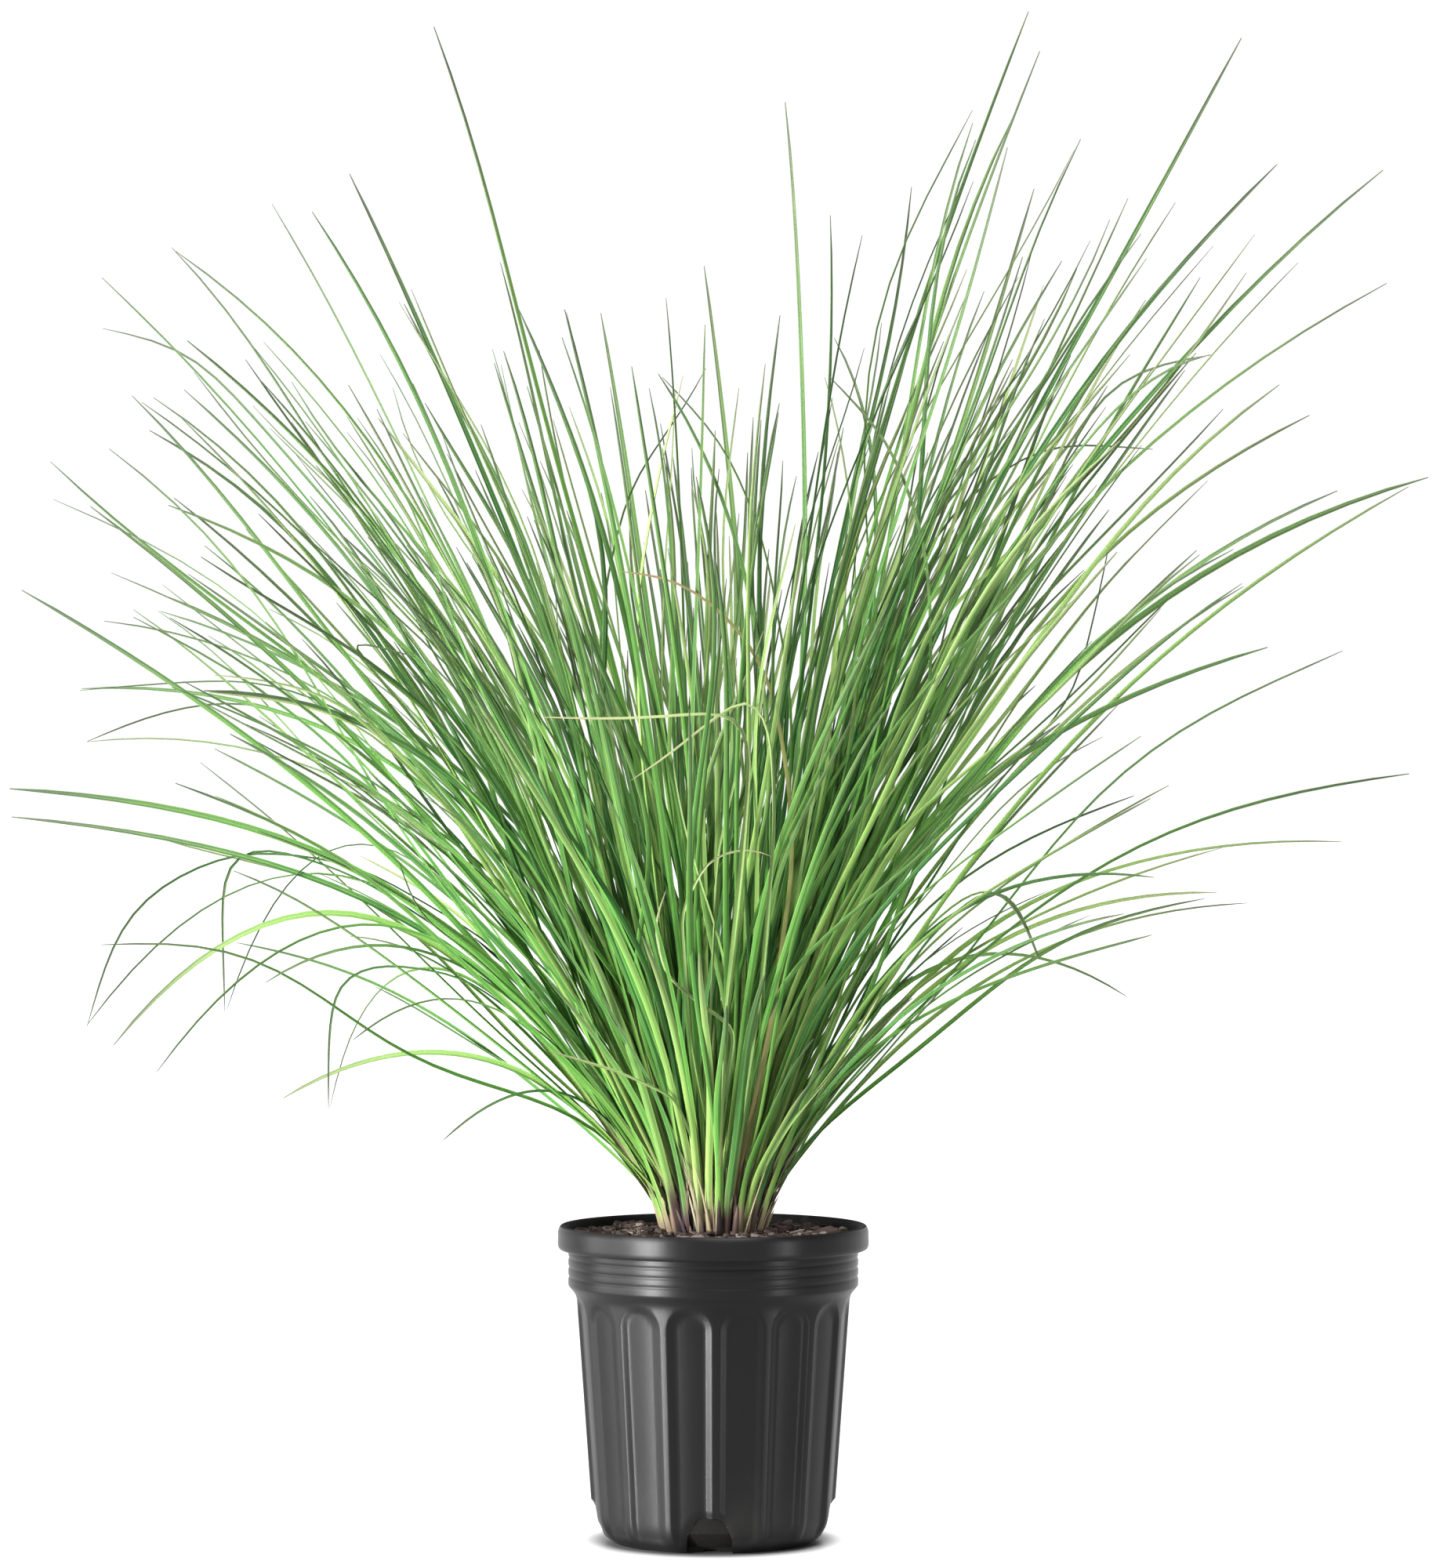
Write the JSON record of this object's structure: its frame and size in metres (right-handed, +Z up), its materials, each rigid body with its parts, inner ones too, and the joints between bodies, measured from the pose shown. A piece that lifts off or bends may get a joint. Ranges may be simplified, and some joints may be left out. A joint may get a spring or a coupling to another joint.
{
  "type": "potted dwarf mat rush",
  "caption": "Tussock of long, narrow arching leaves that fans out from a ridged black nursery pot filled with bark potting mix.",
  "frame": {"origin": "centre of the pot's underside, on the face it stands on", "axes": "+Z up along the pot's axis; -Y towards the front, the side that the picture shows; +X to the right as seen from the front"},
  "size_m": [0.7576, 0.6754, 0.8165],
  "materials": {
    "pot_plastic": "satin",
    "bark_mix": "matte",
    "dry_sheath": "matte",
    "green_leaf": "satin"
  },
  "bodies": {
    "root": {"pot": "pot_plastic", "potting_mix": "bark_mix", "basal_sheaths": "dry_sheath", "leaf_bunch_right": "green_leaf", "leaf_bunch_back_right": "green_leaf", "leaf_bunch_back": "green_leaf", "leaf_bunch_back_left": "green_leaf", "leaf_bunch_left": "green_leaf", "leaf_bunch_front_left": "green_leaf", "leaf_bunch_front": "green_leaf", "leaf_bunch_front_right": "green_leaf"}
  },
  "joints": []
}
